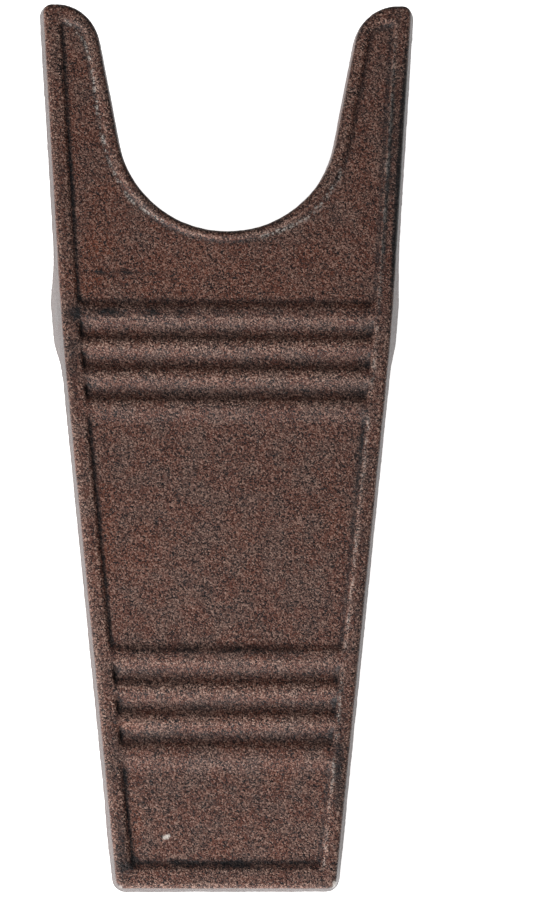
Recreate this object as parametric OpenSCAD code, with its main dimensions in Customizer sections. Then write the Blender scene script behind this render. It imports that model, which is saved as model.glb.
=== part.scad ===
// Boot jack: one iron casting that stands on two short legs and its tail, with four rubber pads.
// The deck is drawn flat, tail edge on the X axis and fork towards +Y, and is then tilted into use.

/* [Deck] */
// Length of the top face, tail edge to fork tips
deck_len = 299; // [280:1:330]
// Width of the top face at the tail edge
tail_w = 73.4; // [68:0.2:84]
// Width of the top face at the knee, where the sides turn straighter
knee_w = 111.4; // [104:0.2:120]
// Width of the top face at the fork tips
fork_w = 125.6; // [122:0.2:136]
// Distance from the tail edge to the knee
knee_y = 186.5; // [178:0.5:192]
// Radius that eases the sides round the knee
knee_r = 800; // [200:50:900]
// Corner radius at the tail, seen from above
tail_r = 3.4; // [2:0.2:6]
// Thickness of the deck
deck_t = 5; // [4.4:0.1:7]
// Thickness of the skirt wall
wall_t = 4.5; // [4:0.1:5.5]
// Depth of the skirt below the top face
skirt_d = 12; // [10:0.5:16]
// Round along the top edge
edge_r = 1.4; // [0.6:0.1:2]
// Fillet between the deck's underside and the skirt
root_r = 2.2; // [1:0.1:2.5]
// Outward lean of the skirt's outer face, in degrees
side_draft = 8; // [4:0.5:9]
// Lean of the notch wall into the notch, in degrees
notch_draft = 3; // [1:0.5:5]

/* [Heel notch] */
// Radius of the round bottom of the notch
throat_r = 37.4; // [34:0.2:39]
// Distance from the tail edge to the bottom of the notch
throat_y = 221.6; // [219:0.2:226]
// Width of each prong at its tip
prong_w = 17; // [15:0.2:20]
// Outer corner radius of a prong's tip
tip_outer_r = 2.8; // [1.5:0.1:3.5]
// Inner corner radius of a prong's tip
tip_inner_r = 14.8; // [6:0.2:16]

/* [Relief] */
// Depth of the sunken panels
panel_d = 1.2; // [0.6:0.1:1.6]
// Width of the raised border along the outer sides
side_border = 5.2; // [4:0.1:7]
// Width of the raised border along the notch flanks
flank_border = 3.9; // [3:0.1:5]
// Width of the raised border under the bottom of the notch
throat_border = 2.5; // [2:0.1:4]
// Width of the raised border at the prong tips
tip_border = 5.8; // [4:0.1:7]
// Distance from the tail edge to the lower wall of the fork panel
fork_panel_y = 195; // [194.2:0.1:198]
// Corner radius of the lower wall of the fork panel
fork_panel_r = 4; // [2:0.2:6]
// Inner corner radius of the fork panel at the prong tips
panel_tip_r = 7; // [2:0.2:7.4]
// Length of the middle panel
mid_panel_len = 82.2; // [60:0.2:83]
// Distance from the tail edge to the middle panel
mid_panel_y = 79; // [78.4:0.1:80]
// Length of the tail panel
tail_panel_len = 37.4; // [25:0.2:38]
// Distance from the tail edge to the tail panel
tail_panel_y = 6.3; // [5.4:0.1:7]
// Corner radius of the middle and tail panels
panel_r = 2.4; // [1.8:0.1:4]
// Run of the steep panel walls
wall_run = 0.8; // [0.4:0.1:1.4]
// Run of the slope at the tail end of all three panels
foot_run = 2.6; // [0.8:0.1:3]
// Run of the long slope at the fork end of the middle and tail panels
slope_run = 4.6; // [2:0.1:6]

/* [Grooves] */
// Number of grooves in each group
groove_n = 3; // [2:1:3]
// Distance from the tail edge to the first groove of the upper group
upper_groove_y = 167.2; // [166.8:0.1:168]
// Distance from one upper groove to the next
upper_pitch = 10.3; // [9.4:0.1:10.6]
// Distance from the tail edge to the first groove of the lower group
lower_groove_y = 50.9; // [49.6:0.1:51.4]
// Distance from one lower groove to the next
lower_pitch = 10.4; // [9.4:0.1:10.8]
// Depth of the grooves
groove_d = 1.7; // [1:0.1:2.2]
// Width of the flat along the crest of each land
land_flat = 1; // [0.6:0.1:1.6]
// Width of the raised border beside the grooves
groove_border = 5.6; // [4.4:0.1:7.4]
// Run of the steep walls that end the grooves
groove_end_run = 0.9; // [0.4:0.1:1.6]

/* [Legs and feet] */
// Tilt of the deck when the jack stands on the floor, in degrees
incline = 7.5; // [6:0.25:9.5]
// Outward lean of the legs' outer face below the skirt, in degrees
leg_draft = 5; // [2:0.5:7]
// Distance from the tail edge to the middle of the legs
leg_y = 194.4; // [190:0.2:200]
// Length of a leg's sole along the deck
sole_len = 15; // [12:0.5:20]
// Width of a leg's sole
sole_w = 10.5; // [9:0.1:13]
// Height over which the sole thickens out of the leg's wall
sole_h = 7; // [4:0.5:10]
// Amount by which each end of a leg widens from sole to skirt
leg_taper = 12; // [8:0.5:14]
// Fillet between the legs and the skirt's rim
leg_fillet = 8; // [3:0.5:9]
// Thickness of the web that joins the legs
web_t = 5; // [4:0.1:8]
// Depth of the web below the top face at mid-width
web_d = 18; // [14:0.5:22]
// Width of the arch under the web, at the floor
arch_w = 98; // [90:1:100]
// Amount by which each side of the arch leans in up to the web
arch_lean = 13; // [8:1:16]
// Length of the flat foot under the tail
tail_foot_len = 17; // [15:0.5:24]
// Radius of the bosses in the tail's corners
boss_r = 8; // [7:0.1:10]

/* [Rubber pads] */
// Thickness of the pads
pad_t = 2.5; // [1.5:0.1:4]
// Margin between the edge of a leg's sole and its pad
pad_margin = 1.2; // [0.6:0.1:2]
// Corner radius of the leg pads
pad_corner_r = 2; // [1:0.1:3]
// Radius of the round tail pads
tail_pad_r = 5.5; // [4:0.1:6.5]

/* [Hidden] */
IRON = [0.34, 0.25, 0.22];
RUBBER = [0.1, 0.1, 0.1];

// Arcs are drawn in steps of this many degrees, and the wide throat in finer ones
arc_step = 9;
throat_step = 4;
// Overlap that keeps cuts clear of the faces they open
past = 1;

// Half the width of the notch at the fork tips, and the centre of the round at its bottom
notch_tip_x = fork_w / 2 - prong_w;
throat_centre_y = throat_y + throat_r;
// The notch is a V that touches this round: the lean of its flanks and its sharp point
tip_rise = deck_len - throat_centre_y;
flank_a = acos(throat_r / norm([notch_tip_x, tip_rise])) - atan2(tip_rise, notch_tip_x);
notch_point_y = throat_centre_y - throat_r / sin(flank_a);
// The inner round of a tip is limited by the width of the tip
tip_round_r = min(tip_inner_r, (prong_w - 1.1 * tip_outer_r) / tan(45 - flank_a / 2));

// Corners of the top face, anticlockwise
deck_corners = [
    [tail_w / 2, 0], [knee_w / 2, knee_y], [fork_w / 2, deck_len], [notch_tip_x, deck_len],
    [0, notch_point_y],
    [-notch_tip_x, deck_len], [-fork_w / 2, deck_len], [-knee_w / 2, knee_y], [-tail_w / 2, 0]
];
// Smallest corner radius of the walls, seen from above
core_r = 1.4;

// Depth of the legs' soles at mid-length, and the lift that sets the pads on the floor
leg_d = -sole_z(leg_y);
full_d = leg_d + 8;
lift = pad_t + skirt_d * cos(incline);
// Ends of the tilted casting, which set the origin at mid-length
tail_end_y = min(edge_r * sin(incline), skirt_d * sin(incline) - lean_out(skirt_d) * cos(incline));
fork_end_y = (deck_len + lean_out(skirt_d)) * cos(incline) + skirt_d * sin(incline);
mid_y = (tail_end_y + fork_end_y) / 2;

// Centres of the soles and of the tail bosses, seen along the deck
sole_x = outer_x(leg_y, leg_d) - sole_w / 2;
boss_x = outer_x(0, skirt_d) - boss_r - 1.6;
boss_y = boss_r + 0.6;

function unit(v) = v / norm(v);
function turned(v, a) = [v.x * cos(a) - v.y * sin(a), v.x * sin(a) + v.y * cos(a)];

// Outward normals of a loop's edges, where edge i runs from corner i to the next
function normals(pts) = [
    for (i = [0:len(pts) - 1])
        let (e = unit(pts[(i + 1) % len(pts)] - pts[i])) [e.y, -e.x]
];

// Moves each edge outward by its own distance and meets neighbours again at new corners
function shifted(pts, dist) =
    let (n = normals(pts), c = len(pts))
    [
        for (i = [0:c - 1])
            let (
                a = n[(i + c - 1) % c], b = n[i],
                da = dist[(i + c - 1) % c], db = dist[i],
                det = a.x * b.y - a.y * b.x
            )
            pts[i] + [da * b.y - db * a.y, a.x * db - b.x * da] / det
    ];

// Rounds each corner by its own radius; a radius of 0 leaves it sharp, and one corner may be the throat
function rounded(pts, radii, throat = -1) =
    let (n = normals(pts), c = len(pts))
    [
        for (i = [0:c - 1])
            let (
                a = n[(i + c - 1) % c], b = n[i],
                turn = atan2(a.x * b.y - a.y * b.x, a * b),
                r = radii[i] * sign(turn),
                centre = pts[i] - r * (a + b) / (1 + a * b),
                steps = radii[i] == 0 ? 0 : max(4, ceil(abs(turn) / (i == throat ? throat_step : arc_step)))
            )
            for (k = [0:steps])
                steps == 0 ? pts[i] : centre + r * turned(a, turn * k / steps)
    ];

// Half-width of the top face at a distance from the tail edge
function side_x(y) = y < knee_y
    ? tail_w / 2 + (knee_w - tail_w) / 2 * y / knee_y
    : knee_w / 2 + (fork_w - knee_w) / 2 * (y - knee_y) / (deck_len - knee_y);
// Outward travel of the leaning outer face from the top edge down to a depth
function lean_out(depth) =
    (min(depth, skirt_d) - edge_r) * tan(side_draft) + max(depth - skirt_d, 0) * tan(leg_draft);
function outer_x(y, depth) = side_x(y) + lean_out(depth);
// Height of the plane of all soles, which lies parallel to the floor when the deck is tilted
function sole_z(y) = -skirt_d - y * tan(incline);

// Outline of the walls at one depth, drawn in from the leaning outer face. Outer corners grow
// with the outline, the throat shrinks, and tip_r is the inner round of the prong tips.
function wall_loop(inset, depth, tip_r) =
    let (
        out = lean_out(depth) - inset,
        into = (depth - edge_r) * tan(notch_draft) - inset,
        r = [for (base = [tail_r, knee_r, tip_outer_r, tip_r]) max(core_r, base + out)]
    )
    rounded(
        shifted(deck_corners, [out, out, out, into, into, out, out, out, out]),
        [r[0], r[1], r[2], r[3], throat_r - into, r[3], r[2], r[1], r[0]],
        throat = 4
    );

// A solid between two or more loops with the same number of points, from the top loop down
module loft(loops, heights) {
    n = len(loops[0]);
    last = len(loops) - 1;
    points = [for (k = [0:last]) for (p = loops[k]) [p.x, p.y, heights[k]]];
    sides = [
        for (k = [0:last - 1], i = [0:n - 1])
            let (j = (i + 1) % n)
            each [[k * n + i, k * n + j, (k + 1) * n + i], [k * n + j, (k + 1) * n + j, (k + 1) * n + i]]
    ];
    top = [for (i = [n - 1:-1:0]) i];
    bottom = [for (i = [0:n - 1]) last * n + i];
    polyhedron(points, concat(sides, [top, bottom]));
}

// The deck's plan carried down with leaning walls, its top edge rounded by r
module leaning_block(top_z, inset, r, tip_r) {
    steps = 4;
    round_off = [for (k = [0:steps]) r * (1 - sin(90 * k / steps))];
    drop = [for (k = [0:steps]) r * (1 - cos(90 * k / steps))];
    loft(
        concat(
            [for (k = [0:steps]) wall_loop(inset + round_off[k], r - top_z, tip_r)],
            [for (depth = [skirt_d, full_d]) wall_loop(inset, depth, tip_r)]
        ),
        concat([for (d = drop) top_z - d], [-skirt_d, -full_d])
    );
}

module plate(loop, z) {
    translate([0, 0, z]) linear_extrude(0.01) polygon(loop);
}

// Side view: skirt, legs and tail foot, cut off along the plane of the soles
module side_view() {
    back = leg_y - sole_len / 2;
    front = leg_y + sole_len / 2;
    end = deck_len + 20;
    corners = [
        [-20, past], [-20, sole_z(-20)],
        [tail_foot_len, sole_z(tail_foot_len)], [tail_foot_len + leg_taper, -skirt_d],
        [back - leg_taper, -skirt_d], [back, sole_z(back)],
        [front, sole_z(front)], [front + leg_taper, -skirt_d],
        [end, -skirt_d], [end, past]
    ];
    radii = [0, 0, 1, 1, leg_fillet, 2, 2, leg_fillet, 0, 0];
    rotate([90, 0, 90])
        linear_extrude(2 * fork_w, center = true)
            polygon(rounded(corners, radii));
}

// Cross web between the legs, with a round-cornered arch under it
module leg_web() {
    arch_top = arch_w - 2 * arch_lean;
    arch = [
        [-arch_w / 2, -full_d - past], [arch_w / 2, -full_d - past],
        [arch_top / 2, -web_d], [-arch_top / 2, -web_d]
    ];
    translate([0, leg_y + web_t / 2, 0])
        rotate([90, 0, 0])
            linear_extrude(web_t)
                difference() {
                    translate([-fork_w / 2, -full_d])
                        square([fork_w, full_d]);
                    polygon(rounded(arch, [0, 0, 11, 11]));
                }
}

// Thickening of one leg's wall into its sole
module sole(side) {
    tilt = atan((side_x(leg_y + 20) - side_x(leg_y - 20)) / 40);
    translate([side * outer_x(leg_y, leg_d), leg_y, -leg_d])
        rotate([0, 0, -side * tilt])
            hull() {
                for (end = [-1, 1])
                    translate([-side * sole_w / 2, end * sole_len / 4, 0])
                        cube([sole_w, sole_len / 2 + 2 * leg_taper, 8], center = true);
                translate([-side * wall_t / 2, 0, 4 + sole_h])
                    cube([wall_t, sole_len + 2 * leg_taper, 0.1], center = true);
            }
}

// Boss in one corner of the tail, widening into the deck above
module boss(side) {
    translate([side * boss_x, boss_y, 0])
        hull() {
            translate([0, 0, -deck_t])
                cylinder(r = boss_r + 1, h = 0.1, $fn = 32);
            translate([0, 0, -full_d])
                cylinder(r = boss_r, h = full_d - deck_t - 2, $fn = 32);
        }
}

// The space under the deck, with web, soles and bosses left standing in it
module hollow() {
    difference() {
        leaning_block(-deck_t, wall_t, root_r, 0);
        leg_web();
        for (side = [-1, 1]) {
            sole(side);
            boss(side);
        }
    }
}

function lane_corners(y0, y1) = [
    [side_x(y0), y0], [side_x(y1), y1], [-side_x(y1), y1], [-side_x(y0), y0]
];

// Sunken panel across the deck, steep at the sides and sloped at both ends
module cross_panel(y0, length) {
    mouth = shifted(lane_corners(y0, y0 + length), [-side_border, 0, -side_border, 0]);
    runs = [wall_run, slope_run, wall_run, foot_run];
    rise = past / panel_d;
    hull() {
        plate(rounded(shifted(mouth, rise * runs), [for (i = [0:3]) panel_r]), past);
        plate(rounded(shifted(mouth, -runs), [for (i = [0:3]) panel_r - 0.6 * wall_run]), -panel_d);
    }
}

// Sunken panel that follows the fork, up both prongs
module fork_panel() {
    corners = [
        [side_x(fork_panel_y), fork_panel_y], [fork_w / 2, deck_len], [notch_tip_x, deck_len],
        [0, notch_point_y],
        [-notch_tip_x, deck_len], [-fork_w / 2, deck_len], [-side_x(fork_panel_y), fork_panel_y]
    ];
    borders = [side_border, tip_border, flank_border, flank_border, tip_border, side_border, 0];
    inner_r = min(tip_round_r - tip_border, panel_tip_r);
    ease = (flank_border - throat_border) / (1 / sin(flank_a) - 1);
    round_r = throat_r + flank_border + ease;
    mouth = shifted(corners, -borders);
    radii = [fork_panel_r, core_r, inner_r, round_r, inner_r, core_r, fork_panel_r];
    grow = [-1, -1, -1, 1, -1, -1, -1];
    runs = [wall_run, wall_run, wall_run, wall_run, wall_run, wall_run, foot_run];
    // The mouth grows outwards by a share of the runs of its walls
    function level(share) = rounded(
        shifted(mouth, share * runs),
        [for (i = [0:6]) max(0.5, radii[i] - share * wall_run * grow[i])],
        throat = 3
    );
    loft([level(past / panel_d), level(-1)], [past, -panel_d]);
}

// Wave of round grooves and round lands across the deck, ended by steep walls along both borders
module groove_group(y0, pitch) {
    // Radius at which neighbouring grooves and lands touch without a step
    wave_r = (pow(pitch / 2, 2) + pow(groove_d, 2)) / (4 * groove_d);
    crest = wave_r - sqrt(pow(wave_r, 2) - pow(land_flat / 2, 2));
    low = y0 - pitch / 2;
    high = y0 + (groove_n - 0.5) * pitch;
    mouth = shifted(lane_corners(low, high), [-groove_border, 0, -groove_border, 0]);
    lean = groove_end_run * [1, 0, 1, 0];
    intersection() {
        hull() {
            plate(shifted(mouth, lean * past / groove_d), past);
            plate(shifted(mouth, -1.2 * lean), -1.2 * groove_d);
        }
        union() {
            difference() {
                translate([-fork_w / 2, low, -groove_d / 2])
                    cube([fork_w, high - low, groove_d / 2 + past]);
                for (k = [0:groove_n])
                    translate([0, low + k * pitch, crest - wave_r])
                        rotate([0, 90, 0])
                            cylinder(r = wave_r, h = fork_w, center = true, $fn = 60);
            }
            for (k = [0:groove_n - 1])
                translate([0, y0 + k * pitch, wave_r - groove_d])
                    rotate([0, 90, 0])
                        cylinder(r = wave_r, h = fork_w, center = true, $fn = 60);
        }
    }
}

module casting() {
    color(IRON)
        difference() {
            intersection() {
                leaning_block(0, 0, edge_r, tip_round_r);
                side_view();
            }
            hollow();
            fork_panel();
            cross_panel(mid_panel_y, mid_panel_len);
            cross_panel(tail_panel_y, tail_panel_len);
            groove_group(upper_groove_y, upper_pitch);
            groove_group(lower_groove_y, lower_pitch);
        }
}

// Tilts what is drawn along the deck into its place on the floor
module in_use() {
    translate([0, -mid_y, lift]) rotate([incline, 0, 0]) children();
}

// Place on the floor under a point of the plane of the soles
function under(x, y) = [x, y * cos(incline) - sole_z(y) * sin(incline) - mid_y, 0];

module leg_pad(side) {
    w = sole_w - 2 * pad_margin;
    l = sole_len - 2 * pad_margin;
    tilt = atan((side_x(leg_y + 20) - side_x(leg_y - 20)) / 40);
    box = [[w / 2, -l / 2], [w / 2, l / 2], [-w / 2, l / 2], [-w / 2, -l / 2]];
    color(RUBBER)
        translate(under(side * sole_x, leg_y))
            rotate([0, 0, -side * tilt])
                linear_extrude(pad_t)
                    polygon(rounded(box, [for (i = [0:3]) pad_corner_r]));
}

module tail_pad(side) {
    color(RUBBER)
        translate(under(side * boss_x, boss_y))
            cylinder(r = tail_pad_r, h = pad_t, $fn = 64);
}

in_use() casting();
leg_pad(-1);  // left_leg_pad
leg_pad(1);  // right_leg_pad
tail_pad(-1);  // left_tail_pad
tail_pad(1);  // right_tail_pad
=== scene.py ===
import math

import bmesh
import bpy
import numpy as np
from mathutils import Matrix, Vector, noise
from mathutils.bvhtree import BVHTree


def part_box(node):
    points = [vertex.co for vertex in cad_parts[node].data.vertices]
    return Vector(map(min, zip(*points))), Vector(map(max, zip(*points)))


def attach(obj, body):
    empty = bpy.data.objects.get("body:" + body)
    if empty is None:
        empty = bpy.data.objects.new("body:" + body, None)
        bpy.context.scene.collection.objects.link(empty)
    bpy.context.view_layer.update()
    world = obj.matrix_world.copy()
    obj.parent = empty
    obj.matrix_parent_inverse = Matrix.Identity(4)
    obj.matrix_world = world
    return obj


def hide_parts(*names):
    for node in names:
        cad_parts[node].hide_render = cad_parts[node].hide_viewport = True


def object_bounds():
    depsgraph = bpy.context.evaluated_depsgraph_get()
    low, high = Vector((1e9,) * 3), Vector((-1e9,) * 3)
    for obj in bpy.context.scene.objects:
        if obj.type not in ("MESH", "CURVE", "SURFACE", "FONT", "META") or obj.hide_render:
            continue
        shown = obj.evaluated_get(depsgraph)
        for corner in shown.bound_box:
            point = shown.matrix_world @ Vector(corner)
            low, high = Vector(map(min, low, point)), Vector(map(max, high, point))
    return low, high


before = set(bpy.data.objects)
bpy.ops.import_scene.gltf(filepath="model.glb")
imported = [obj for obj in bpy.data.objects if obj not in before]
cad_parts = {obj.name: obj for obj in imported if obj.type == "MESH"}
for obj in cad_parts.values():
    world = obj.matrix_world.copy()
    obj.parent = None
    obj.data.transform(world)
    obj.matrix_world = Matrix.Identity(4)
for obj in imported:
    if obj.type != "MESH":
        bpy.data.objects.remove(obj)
cad_low, cad_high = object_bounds()

# The jack stands on a plain white floor in a plain studio. The camera looks down on the deck from a
# little on the tail's side and a little to its left, as someone about to step on it would.
MM = 0.001
PICTURE_HEIGHT_PX = 900
FOCAL_PX = 4442
CAMERA_SIDE = math.radians(-8.2)
CAMERA_HEIGHT = math.radians(77.8)
CAMERA_ROLL = math.radians(-0.22)
CAMERA_DISTANCE = 1500 * MM
AIM = Vector((17.0 * MM, -3.1 * MM, 30 * MM))

scene = bpy.context.scene
scene.view_settings.view_transform = "Standard"


def add_object(name, data):
    made = bpy.data.objects.new(name, data)
    scene.collection.objects.link(made)
    return made


def direction(azimuth, height):
    """Towards something seen at a height, from azimuth 0 in front of the tail round to the right."""
    return Vector((
        math.sin(azimuth) * math.cos(height),
        -math.cos(azimuth) * math.cos(height),
        math.sin(height),
    ))


def look_from(eye, target, roll=0.0):
    """Placement of something at eye that looks at target, with the fork as high as it can be in its view."""
    back = (eye - target).normalized()
    right = Vector((0, 1, 0)).cross(back).normalized()
    turn = Matrix((right, back.cross(right), back)).transposed().to_4x4()
    return Matrix.Translation(eye) @ turn @ Matrix.Rotation(roll, 4, "Z")


camera_data = bpy.data.cameras.new("camera")
camera_data.sensor_fit = "VERTICAL"
camera_data.sensor_height = 24
camera_data.lens = FOCAL_PX * camera_data.sensor_height / PICTURE_HEIGHT_PX
camera = add_object("camera", camera_data)
eye = AIM + CAMERA_DISTANCE * direction(CAMERA_SIDE, CAMERA_HEIGHT)
camera.matrix_world = look_from(eye, AIM, roll=CAMERA_ROLL)
scene.camera = camera

# The floor is a sheet of studio paper that glows plain white, so that no shadow of the jack is left
# on it. A dim world fills the shadows, and one soft box in front of the tail draws out the relief.
FLOOR_HALF = 3.0
PAPER_COLOUR = (0.9, 0.9, 0.9, 1)
WORLD_COLOUR = (1, 0.97, 0.97, 1)
WORLD_STRENGTH = 0.09
LIT_PLACE = Vector((0, 0, 0.03))

floor_mesh = bpy.data.meshes.new("floor")
floor_mesh.from_pydata(
    [(x * FLOOR_HALF, y * FLOOR_HALF, 0) for x, y in ((-1, -1), (1, -1), (1, 1), (-1, 1))],
    [], [(0, 1, 2, 3)],
)
floor = add_object("floor", floor_mesh)
paper = bpy.data.materials.new("studio_paper")
paper.use_nodes = True
paper_shader = paper.node_tree.nodes["Principled BSDF"]
paper_shader.inputs["Base Color"].default_value = PAPER_COLOUR
paper_shader.inputs["Roughness"].default_value = 0.8
paper_shader.inputs["Emission Color"].default_value = (1, 1, 1, 1)
paper_shader.inputs["Emission Strength"].default_value = 1.0
floor_mesh.materials.append(paper)

studio = bpy.data.worlds.new("studio")
studio.use_nodes = True
studio.node_tree.nodes["Background"].inputs["Color"].default_value = WORLD_COLOUR
studio.node_tree.nodes["Background"].inputs["Strength"].default_value = WORLD_STRENGTH
scene.world = studio


def soft_box(name, azimuth, height, distance, side, watts):
    """A square light at a distance, with its azimuth and height in degrees, turned to the jack."""
    data = bpy.data.lights.new(name, "AREA")
    data.shape = "RECTANGLE"
    data.size = side
    data.size_y = side
    data.energy = watts
    light = add_object(name, data)
    place = distance * direction(math.radians(azimuth), math.radians(height))
    light.matrix_world = look_from(place, LIT_PLACE)


soft_box("key_light", azimuth=-33, height=29, distance=1.25, side=0.3, watts=22)

# The casting: one piece of sand-cast iron, made in two halves of a sand mould, knocked out, brushed
# and dipped in a dull rust-brown coat. It keeps the mould's grain all over, and its edges are soft.
VOXEL = 0.6 * MM
WELD = 1e-7
EDGE_SOFTENING = 2
SKIN_TRIANGLES = 190000
# How strongly the thinning spares what is seen
SEEN_FACTOR = 0.05
SEEN_WEIGHT = 0.9
# Passes of averaging that show the relief near by and farther off
CREASE_PASSES = 10
HOLLOW_PASSES = 49
# Grain and waviness of the sand mould: size of the lumps and how far they stand, in millimetres, and
# the share of a lump that is cut back
MOULD_WAVES = ((9.0, 0.10), (2.6, 0.04), (1.0, 0.09))
CUT_BACK = 0.35


def mesh_arrays(mesh):
    points = np.empty(len(mesh.vertices) * 3)
    mesh.vertices.foreach_get("co", points)
    edges = np.empty(len(mesh.edges) * 2, int)
    mesh.edges.foreach_get("vertices", edges)
    return points.reshape(-1, 3), edges.reshape(-1, 2)


def vertex_normals(mesh):
    normals = np.empty(len(mesh.vertices) * 3)
    mesh.vertices.foreach_get("normal", normals)
    return normals.reshape(-1, 3)


def move_points(mesh, points):
    mesh.vertices.foreach_set("co", points.ravel())
    mesh.update()


def within_cad(points):
    return np.clip(points, np.array(cad_low), np.array(cad_high))


def spread(values, edges, count):
    """Averages each vertex's value with its neighbours', over and over."""
    degree = np.bincount(edges.ravel(), minlength=len(values))[:, None]
    a, b = edges.T
    for _ in range(count):
        total = np.stack([
            np.bincount(a, column[b], len(values)) + np.bincount(b, column[a], len(values))
            for column in values.T
        ], 1)
        values = 0.5 * values + 0.5 * total / degree
    return values


def lumps(points, size):
    """Smooth random heights between about -1 and 1, with lumps of one size in millimetres."""
    scaled = points / (size * MM)
    return np.array([noise.noise(p) for p in scaled])


def apply_modifiers(piece):
    """Gives the piece the mesh that its modifiers make of it."""
    shown = piece.evaluated_get(bpy.context.evaluated_depsgraph_get())
    mesh = bpy.data.meshes.new_from_object(shown)
    piece.modifiers.clear()
    piece.data = mesh
    return mesh


casting_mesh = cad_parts["casting"].data.copy()
casting_mesh.materials.clear()
welded = bmesh.new()
welded.from_mesh(casting_mesh)
bmesh.ops.remove_doubles(welded, verts=welded.verts, dist=WELD)
welded.to_mesh(casting_mesh)
welded.free()
casting = add_object("casting_skin", casting_mesh)
sand = casting.modifiers.new("sand", "REMESH")
sand.mode = "VOXEL"
sand.voxel_size = VOXEL
skin = apply_modifiers(casting)
points, edges = mesh_arrays(skin)
points = spread(points, edges, EDGE_SOFTENING)
move_points(skin, points)
normals = vertex_normals(skin)

# How far each point lies in a recess or stands on an edge, in millimetres, near by and farther off
relief = {
    name: ((spread(points, edges, count) - points) * normals).sum(1) / MM
    for name, count in (("crease", CREASE_PASSES), ("hollow", HOLLOW_PASSES))
}

# Place on the deck in millimetres: across from its middle line, along from the tail edge, and down
INCLINE = math.radians(7.5)
DECK_UP = Vector((0, -math.sin(INCLINE), math.cos(INCLINE)))
DECK_ON = Vector((0, math.cos(INCLINE), math.sin(INCLINE)))
TAIL_EDGE = Vector((0, cad_low.y, 14.4 * MM))
from_tail = (points - np.array(TAIL_EDGE)) / MM
across = from_tail[:, 0]
along = from_tail @ np.array(DECK_ON)
down = -from_tail @ np.array(DECK_UP)

# Points that lie under the deck are covered by it, and the outer walls are those that aren't
STEEP = 0.5
BELOW_DECK = 4
CLEAR = 0.4 * MM
REACH = 60 * MM
WALL_TOP = 0.8
WALL_FADE = 1.2
roof = BVHTree.FromPolygons(
    [v.co for v in casting_mesh.vertices],
    [p.vertices for p in casting_mesh.polygons],
)
facing_up = normals @ np.array(DECK_UP)
steep = np.abs(facing_up) < STEEP
covered = facing_up < -STEEP
for i in np.flatnonzero(steep & (down > BELOW_DECK)):
    start = Vector(points[i] + normals[i] * CLEAR)
    covered[i] = roof.ray_cast(start, DECK_UP, REACH)[0] is not None
outer_wall = np.where(steep & ~covered, np.clip((down - WALL_TOP) / WALL_FADE, 0, 1), 0.0)


def band(values, middle, half_width):
    """1 where the values are at the middle, fading to 0 on both sides of it."""
    return np.exp(-((values - middle) / half_width) ** 2)


def patches(spots):
    """Soft oval patches: middle across and along the deck, half-sizes and strength, in millimetres."""
    total = np.zeros(len(across))
    for x, y, half_w, half_l, strength in spots:
        total += strength * np.exp(-((across - x) / half_w) ** 2 - ((along - y) / half_l) ** 2)
    return total


def beside(line, width):
    """1 on a line of places across and along the deck, fading to 0 beside it and at its two ends."""
    nearest = np.full(len(across), 1e9)
    for (x0, y0), (x1, y1) in zip(line, line[1:]):
        run = np.array((x1 - x0, y1 - y0))
        share = np.clip(((across - x0) * run[0] + (along - y0) * run[1]) / (run @ run), 0, 1)
        off_across = across - x0 - share * run[0]
        off_along = along - y0 - share * run[1]
        nearest = np.minimum(nearest, off_across ** 2 + off_along ** 2)
    return np.exp(-nearest / width ** 2)


RED_PATCHES = (
    (-43, 215, 6, 8, 1.0), (-48, 203, 6, 7, 1.0), (-20, 206, 16, 6, 0.5), (-53, 262, 2.5, 34, 0.7),
    (57, 210, 2.5, 9, 1.5), (0, 208, 52, 14, 0.45), (-47, 240, 12, 26, 0.4), (-49, 188, 5, 3, 1.0),
    (-34, 54.5, 8, 1.6, 1.2), (-31, 22, 2.5, 15, 0.9), (-40.5, 118, 2.5, 24, 0.9), (34, 28, 2.5, 11, 0.6),
    (10, 202, 25, 7, 0.35), (45, 240, 6, 30, 0.3),
)
# Patches of soot and painted shade; the three that run across the whole deck are painted shade on the panel
# walls that face the fork
SOOT_AND_SHADE_PATCHES = (
    (-39, 207.3, 7, 0.6, 2.4), (-25, 207.0, 9, 0.45, 1.2), (-34, 194.0, 11, 2.0, 1.3),
    (-52.5, 178, 3.5, 15, 0.6), (-51, 193, 4, 4, 0.6), (-38.5, 46, 3, 14, 0.6), (-35, 18, 2, 20, 0.7),
    (-31, 8, 4, 3, 0.5), (37.5, 40, 2.5, 30, 0.8), (-55, 232, 3, 14, 0.6), (0, 194.2, 52, 2.2, 0.7),
    (0, 79.6, 41, 1.7, 0.75), (0, 7.7, 33, 1.8, 0.9), (46, 130, 3, 60, 0.4),
)
MOTTLED = ((-8, 30, 28, 12, 0.9), (-26, 20, 8, 18, 0.7), (-40, 232, 10, 30, 0.7), (-42, 140, 8, 30, 0.4))
# Bare places: a chip in the tail panel and one on each corner of the tail
CHIPS = (
    (-20.5, 17.0, 1.3, 0.9, 1.0), (-19.3, 17.7, 0.8, 0.7, 0.9), (36.2, 1.4, 1.2, 1.8, 0.9),
    (-35.4, 0.6, 1.2, 1.2, 0.6),
)
# Painted highlights on borders: round the fork panel beside the notch, and the right ends of panels and
# grooves
LEFT_BORDER = (
    (-54.7, 292.9), (-49.9, 288.4), (-46.9, 282.0), (-45.5, 274.4), (-44.1, 262.5), (-42.0, 252.2),
    (-39.0, 242.0), (-32.8, 231.8), (-26.1, 227.1), (-21.0, 224.4),
)
RIGHT_BORDER = ((11.8, 219.8), (19.6, 222.2), (26.4, 225.6), (31.4, 230.0), (35.5, 235.5), (39.2, 243.0))
# Half the deck's width at the tail, at the bend and at the fork, each with its place along the deck
HALF_WIDTHS = ((0, 36.7), (186.5, 55.7), (299, 62.8))
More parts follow.
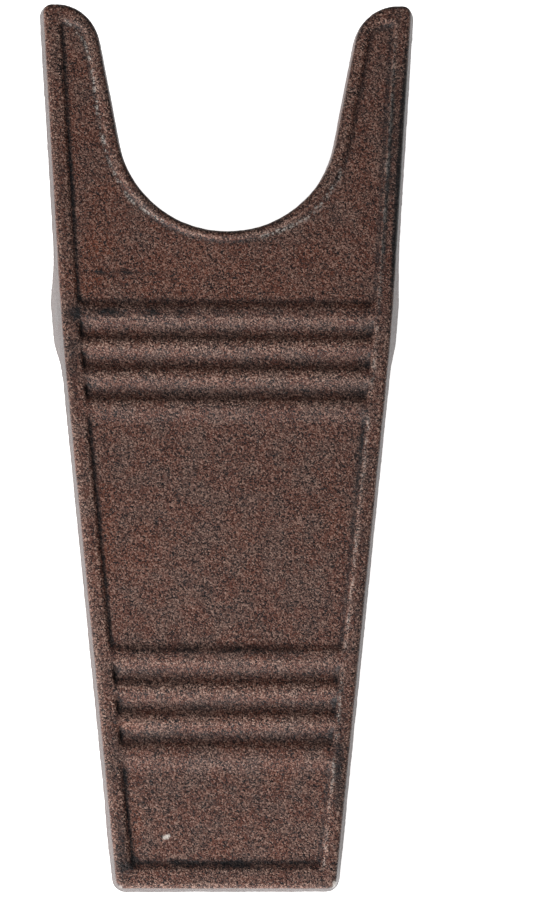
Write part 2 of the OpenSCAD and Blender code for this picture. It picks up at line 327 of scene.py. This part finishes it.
# Where sunken forms run beside the border, each with its place along the deck
SUNK_RUNS = (
    (6, 0), (8, 1), (43, 1), (44, 0), (49, 0), (50, 1), (160, 1), (161, 0), (166, 0), (167, 1),
)
BORDER = 5
RIGHT_END_AT = 5.0
LEFT_FOOT_AT = 6.3
FORK_FROM = 190
NOTCH_FROM = 150
TAIL_WALL_TO = 1.5
RIM_FROM = 0.35
RIM_FADE = 0.5
WANDER_SIZE = 7.0
CHIP_GRAIN_SIZE = 0.9

wander = lumps(points, WANDER_SIZE)
inside = np.interp(along, *zip(*HALF_WIDTHS)) - np.abs(across)
sunk_run = np.interp(along, *zip(*SUNK_RUNS))
right_end = band(inside, RIGHT_END_AT, 0.5) * (across > 0) * np.where(along > FORK_FROM, 0.5, 1)
left_foot = band(inside, LEFT_FOOT_AT, 0.8) * (across < 0)

# Painted shade lies on the rim of the notch and at the left foot of the sunken forms, and both edges of the
# right prong's border are darkened; all of it joins the patches of soot and painted shade
by_notch = (inside > BORDER) & (along > NOTCH_FROM)
rim = np.clip((-relief["hollow"] - RIM_FROM) / RIM_FADE, 0, 1)
right_prong = (across > 0) * np.exp(-((along - 240) / 42) ** 4)
prong_edges = 2.0 * band(inside, 0.9, 0.9) + 1.6 * band(inside, 4.7, 0.8) + 0.3 * (inside < BORDER)
# The notch's right flank, which faces the key light, keeps little of the painted wall shade, and the tail's
# end wall gets more
lit_notch_flank = np.where((across > 0) & by_notch, 0.1, 1)
tail_wall = np.where(along < TAIL_WALL_TO, 1.25, 1)
soot_and_shade = patches(SOOT_AND_SHADE_PATCHES) * (1 + 1.2 * wander)
soot_and_shade = soot_and_shade + 0.75 * (rim * by_notch) + right_prong * prong_edges + 0.45 * left_foot * sunk_run
# Painted highlights on the right ends of panels and grooves and along the borders beside the notch
painted_highlight = 0.5 * right_end * sunk_run * (1 + wander)
painted_highlight = painted_highlight + 1.1 * beside(LEFT_BORDER, 0.4) + 0.8 * beside(RIGHT_BORDER, 0.7)
tone = {
    "red": patches(RED_PATCHES) * (0.8 + 0.6 * wander),
    "soot_and_shade": soot_and_shade,
    "mottle": patches(MOTTLED),
    "outer_wall": outer_wall,
    "painted_wall_shade": outer_wall * lit_notch_flank * tail_wall,
    "rim": rim,
    "chip": patches(CHIPS) * (1 + 0.5 * lumps(points, CHIP_GRAIN_SIZE)),
    "painted_highlight": painted_highlight,
}
for name, values in (*relief.items(), *tone.items()):
    layer = skin.attributes.new(name, "FLOAT", "POINT")
    layer.data.foreach_set("value", values)

# The grain is raised and cut back, never past the drawn size
grain = sum(step * (lumps(points, size) - CUT_BACK) for size, step in MOULD_WAVES)
points += normals * (grain * MM)[:, None]
move_points(skin, within_cad(points))

# Fine triangles stay where the deck and the outer walls are seen, and the underside gets fewer. The
# thinning judges shapes well only in millimetres, so the skin is made that large for it.
keep = casting.vertex_groups.new(name="keep")
keep.add(np.flatnonzero(~covered).tolist(), SEEN_WEIGHT, "REPLACE")
skin.transform(Matrix.Scale(1 / MM, 4))
thin = casting.modifiers.new("thin", "DECIMATE")
triangles_now = 2 * len(skin.polygons)
thin.ratio = SKIN_TRIANGLES / triangles_now
thin.vertex_group = keep.name
thin.vertex_group_factor = SEEN_FACTOR
thin.invert_vertex_group = True
skin = apply_modifiers(casting)
skin.transform(Matrix.Scale(MM, 4))
move_points(skin, within_cad(mesh_arrays(skin)[0]))
skin.shade_smooth()


class Nodes:
    """Adds nodes to a tree and joins them: a value given for a socket is a number, a colour or a socket."""

    def __init__(self, tree):
        self.tree = tree

    def add(self, kind, settings=None, **values):
        node = self.tree.nodes.new(kind)
        for name, value in (settings or {}).items():
            setattr(node, name, value)
        for name, value in values.items():
            self.put(node, name.replace("_", " "), value)
        return node

    def put(self, node, socket, value):
        target = node.inputs[int(socket)] if socket.isdigit() else node.inputs[socket]
        if isinstance(value, bpy.types.NodeSocket):
            self.tree.links.new(value, target)
        else:
            target.default_value = value

    def math(self, operation, a, b, clamp=False):
        node = self.add("ShaderNodeMath", {"operation": operation, "use_clamp": clamp})
        self.put(node, "0", a)
        self.put(node, "1", b)
        return node.outputs[0]

    def plus(self, a, b, clamp=False):
        return self.math("ADD", a, b, clamp)

    def minus(self, a, b):
        return self.math("SUBTRACT", a, b)

    def times(self, a, b, clamp=False):
        return self.math("MULTIPLY", a, b, clamp)

    def ramp(self, value, low, high):
        """0 where the value is at low, 1 where it is at high, with a smooth change between them."""
        node = self.add("ShaderNodeMapRange", {"interpolation_type": "SMOOTHSTEP"}, Value=value)
        self.put(node, "From Min", low)
        self.put(node, "From Max", high)
        return node.outputs["Result"]

    def mix(self, factor, a, b):
        node = self.add("ShaderNodeMix", {"data_type": "RGBA", "clamp_factor": True})
        self.put(node, "0", factor)
        self.put(node, "6", a)
        self.put(node, "7", b)
        return node.outputs[2]

    def mask(self, name):
        return self.add("ShaderNodeAttribute", {"attribute_name": name}).outputs["Fac"]

    def noise(self, place, scale, detail=2.0, roughness=0.5):
        settings = {"Vector": place, "Scale": scale, "Detail": detail, "Roughness": roughness}
        return self.add("ShaderNodeTexNoise", **settings).outputs["Fac"]

    def bump(self, strength, distance, height):
        return self.add("ShaderNodeBump", Strength=strength, Distance=distance, Height=height)


def new_material(name):
    material = bpy.data.materials.new(name)
    material.use_nodes = True
    return material, Nodes(material.node_tree), material.node_tree.nodes["Principled BSDF"]


# Grain of a surface that was shaped against sand or a rough mould: fine hills, pits and bright crumbs
GRAIN_INPUTS = (("Grain size", 0.5), ("Pit share", 0.3), ("Crumb share", 0.25))
GRAIN_OUTPUTS = ("Height", "Pits", "Crumbs", "Blotches")
speckle = bpy.data.node_groups.new("speckle", "ShaderNodeTree")
for label, value in GRAIN_INPUTS:
    socket = speckle.interface.new_socket(label, in_out="INPUT", socket_type="NodeSocketFloat")
    socket.default_value = value
for label in GRAIN_OUTPUTS:
    speckle.interface.new_socket(label, in_out="OUTPUT", socket_type="NodeSocketFloat")
make = Nodes(speckle)
given = speckle.nodes.new("NodeGroupInput").outputs
result = speckle.nodes.new("NodeGroupOutput")
place = make.add("ShaderNodeTexCoord").outputs["Object"]
per_metre = make.math("DIVIDE", 1 / MM, given["Grain size"])
cells = make.add("ShaderNodeTexVoronoi", Vector=place, Scale=per_metre)
tone_of = make.add("ShaderNodeSeparateColor", Color=cells.outputs["Color"]).outputs["Red"]
coarse = make.noise(place, make.times(per_metre, 0.4))
hills = make.plus(make.times(tone_of, 0.3), make.times(coarse, 0.9))
made_grain = {
    "Height": make.minus(hills, make.times(cells.outputs["Distance"], 0.4)),
    "Pits": make.ramp(tone_of, given["Pit share"], 0.0),
    "Crumbs": make.ramp(tone_of, make.minus(1.0, given["Crumb share"]), 1.0),
    "Blotches": make.noise(place, make.times(per_metre, 0.05), 3.0, 0.55),
}
for label in GRAIN_OUTPUTS:
    speckle.links.new(made_grain[label], result.inputs[label])


def speckled(make, grain_size, pit_share, crumb_share):
    node = make.add("ShaderNodeGroup", {"node_tree": speckle})
    node.inputs["Grain size"].default_value = grain_size
    node.inputs["Pit share"].default_value = pit_share
    node.inputs["Crumb share"].default_value = crumb_share
    return node.outputs


BROWN = (0.118, 0.043, 0.029, 1)
GREY_BROWN = (0.115, 0.058, 0.045, 1)
RUST_RED = (0.150, 0.042, 0.021, 1)
# Near-black for soot, pits and mottling, and for painted shade
SOOT_AND_SHADE_COLOUR = (0.006, 0.005, 0.006, 1)
# Tan for dust and for painted glints on the grain
DUST_AND_GLINT = (0.50, 0.33, 0.26, 1)
# Pale for bare chips and for painted highlights
CHIP_AND_HIGHLIGHT = (0.72, 0.66, 0.60, 1)
# How strong each layer of the coat is, as a share of its colour
RED_IN_PATCHES = 0.8
RED_IN_BLOTCHES = 0.35
# Soot in the creases, hollows and patches is partly painted shade; soot on the outer walls is painted shade
SOOT_AND_SHADE_IN_CREASES = 0.55
SOOT_AND_SHADE_IN_HOLLOWS = 0.12
SOOT_AND_SHADE_IN_PATCHES = 0.8
SHADE_ON_WALLS = 0.55
SOOT_IN_MOTTLING = 0.55
SOOT_AND_SHADE_OVER_DUST = 0.85
DUST_AND_GLINT_ON_CRUMBS = 0.42
DUST_AND_GLINT_ON_WORN_CRUMBS = 0.3
DUST_ON_EDGES = 0.06
HIGHLIGHT_SHARE = 0.6
SMOOTHER_WALL = 0.6
# Shine and depth of the grain
SHINE = 0.35
ROUGHNESS = 0.48
ROUGHER_GRAIN = 0.15
GLOSSIER_WALL = 0.15
GRAIN_DEPTH = 0.25 * MM

iron, make, shader = new_material("rust_brown_iron")
grains = speckled(make, grain_size=0.40, pit_share=0.60, crumb_share=0.42)
pores = speckled(make, grain_size=1.0, pit_share=0.30, crumb_share=0.25)
crease = make.mask("crease")
hollow = make.mask("hollow")
wall = make.mask("outer_wall")
grainy = make.minus(1.0, make.times(wall, SMOOTHER_WALL))

# The coat is brown, greyer in blotches and redder in patches
coat = make.mix(make.ramp(grains["Blotches"], 0.42, 0.60), BROWN, GREY_BROWN)
red_patches = make.times(make.mask("red"), RED_IN_PATCHES)
red_blotches = make.times(make.ramp(pores["Blotches"], 0.52, 0.70), RED_IN_BLOTCHES)
coat = make.mix(make.plus(red_patches, red_blotches, clamp=True), coat, RUST_RED)

# Soot and painted shade lie in the creases and the hollows, and in their own patches
sunk = make.times(make.ramp(crease, 0.015, 0.11), SOOT_AND_SHADE_IN_CREASES)
deep = make.times(make.ramp(hollow, 0.05, 0.40), SOOT_AND_SHADE_IN_HOLLOWS)
darkening = make.plus(make.plus(sunk, deep), make.times(make.mask("soot_and_shade"), SOOT_AND_SHADE_IN_PATCHES))
darkening = make.times(darkening, make.plus(0.55, make.times(pores["Height"], 0.9)), clamp=True)
coat = make.mix(darkening, coat, SOOT_AND_SHADE_COLOUR)

# Dust and painted glints sit on the crumbs of the grain, more on worn edges and less where soot and painted
# shade cover them
worn = make.ramp(make.times(crease, -1.0), 0.012, 0.09)
worn = make.times(worn, make.minus(1.0, make.mask("rim")))
dust_and_glint = make.times(grains["Crumbs"], make.plus(DUST_AND_GLINT_ON_CRUMBS, make.times(worn, DUST_AND_GLINT_ON_WORN_CRUMBS)))
dust_and_glint = make.plus(dust_and_glint, make.times(worn, DUST_ON_EDGES))
dust_and_glint = make.times(dust_and_glint, make.minus(1.0, make.times(darkening, SOOT_AND_SHADE_OVER_DUST)))
dust_and_glint = make.times(dust_and_glint, grainy, clamp=True)
coat = make.mix(dust_and_glint, coat, DUST_AND_GLINT)

# Painted highlights lie on the borders, pits and mottling are dark, the outer walls get painted shade and
# the chips are bright
highlight_share = make.times(make.mask("painted_highlight"), HIGHLIGHT_SHARE)
coat = make.mix(make.times(highlight_share, make.ramp(pores["Height"], 0.30, 0.55)), coat, CHIP_AND_HIGHLIGHT)
coat = make.mix(make.times(grains["Pits"], grainy), coat, SOOT_AND_SHADE_COLOUR)
mottle = make.times(make.mask("mottle"), SOOT_IN_MOTTLING)
coat = make.mix(make.times(pores["Pits"], mottle), coat, SOOT_AND_SHADE_COLOUR)
# The outer walls get painted shade, less on the notch's right flank and more on the tail's end wall
coat = make.mix(make.times(make.mask("painted_wall_shade"), SHADE_ON_WALLS), coat, SOOT_AND_SHADE_COLOUR)
chip_edge = make.ramp(make.mask("chip"), 0.3, 0.9)
bare = make.times(chip_edge, make.plus(0.6, make.times(grains["Height"], 0.6)))
coat = make.mix(bare, coat, CHIP_AND_HIGHLIGHT)

rough = make.plus(ROUGHNESS, make.times(grains["Height"], ROUGHER_GRAIN))
make.put(shader, "Base Color", coat)
make.put(shader, "Specular IOR Level", SHINE)
make.put(shader, "Roughness", make.minus(rough, make.times(wall, GLOSSIER_WALL)))
fine_bump = make.bump(1.0, GRAIN_DEPTH, make.times(grains["Height"], grainy))
pore_bump = make.bump(0.6, GRAIN_DEPTH, pores["Height"])
make.put(pore_bump, "Normal", fine_bump.outputs["Normal"])
make.put(shader, "Normal", pore_bump.outputs["Normal"])
skin.materials.append(iron)
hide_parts("casting")
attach(casting, "root")

# The four pads: black rubber bumpers moulded with a rounded lower rim and a shallow cup underneath.
# A narrow step round the top is the line where each is stuck to a sole of the legs or a boss.
STEP_INSET = 0.35
STEP_HEIGHT = 0.25
RIM_ROUND = 0.7
RIM_STEPS = 6
CUP_DEPTH = 0.4
CUP_MARGIN = 1.6
CRISP_EDGE = math.radians(50)
RUBBER_DARK = (0.010, 0.010, 0.010, 1)
RUBBER_GREY = (0.022, 0.021, 0.020, 1)
RUBBER_DUST = (0.12, 0.11, 0.10, 1)

rubber, make, shader = new_material("pad_rubber")
grains = speckled(make, grain_size=0.35, pit_share=0.3, crumb_share=0.3)
tint = make.mix(make.ramp(grains["Blotches"], 0.4, 0.65), RUBBER_DARK, RUBBER_GREY)
make.put(shader, "Base Color", make.mix(make.times(grains["Crumbs"], 0.25), tint, RUBBER_DUST))
make.put(shader, "Roughness", make.plus(0.62, make.times(grains["Height"], 0.2)))
make.put(shader, "Normal", make.bump(0.5, 0.05 * MM, grains["Height"]).outputs["Normal"])


def outline_of(mesh):
    """Middle of a flat-bottomed pad, and the corners of its outline in order round it."""
    low = min(v.co.z for v in mesh.vertices)
    corners = {(round(v.co.x, 7), round(v.co.y, 7)) for v in mesh.vertices if v.co.z < low + 0.01 * MM}
    middle = Vector((sum(c[0] for c in corners), sum(c[1] for c in corners))) / len(corners)
    ordered = sorted(corners, key=lambda c: math.atan2(c[1] - middle.y, c[0] - middle.x))
    return middle, [Vector(c) for c in ordered]


def pad_profile(thick):
    """Inset in millimetres and height in metres of each ring, from the top down and into the cup."""
    step_at = thick - STEP_HEIGHT * MM
    profile = [(STEP_INSET, thick), (STEP_INSET, step_at), (0.0, step_at)]
    for k in range(RIM_STEPS + 1):
        turn = math.pi / 2 * k / RIM_STEPS
        profile.append((RIM_ROUND * (1 - math.cos(turn)), RIM_ROUND * MM * (1 - math.sin(turn))))
    profile.append((CUP_MARGIN, 0.0))
    profile.append((CUP_MARGIN + CUP_DEPTH, CUP_DEPTH * MM))
    return profile


for pad in ("left_leg_pad", "right_leg_pad", "left_tail_pad", "right_tail_pad"):
    middle, corners = outline_of(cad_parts[pad].data)
    low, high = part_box(pad)
    profile = pad_profile(high.z - low.z)
    count = len(corners)
    verts = []
    for inset, z in profile:
        for corner in corners:
            arm = corner - middle
            drawn = arm * (1 - inset * MM / arm.length)
            verts.append((middle.x + drawn.x, middle.y + drawn.y, low.z + z))
    faces = []
    for start in range(0, (len(profile) - 1) * count, count):
        below = start + count
        for i in range(count):
            j = (i + 1) % count
            faces.append((start + j, start + i, below + i, below + j))
    faces.append(tuple(range(count)))
    faces.append(tuple(reversed(range((len(profile) - 1) * count, len(profile) * count))))
    mesh = bpy.data.meshes.new(pad + "_rubber")
    mesh.from_pydata(verts, [], faces)
    mesh.materials.append(rubber)
    mesh.shade_smooth()
    piece = add_object(pad + "_rubber", mesh)
    piece.modifiers.new("crisp", "EDGE_SPLIT").split_angle = CRISP_EDGE
    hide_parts(pad)
    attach(piece, "root")
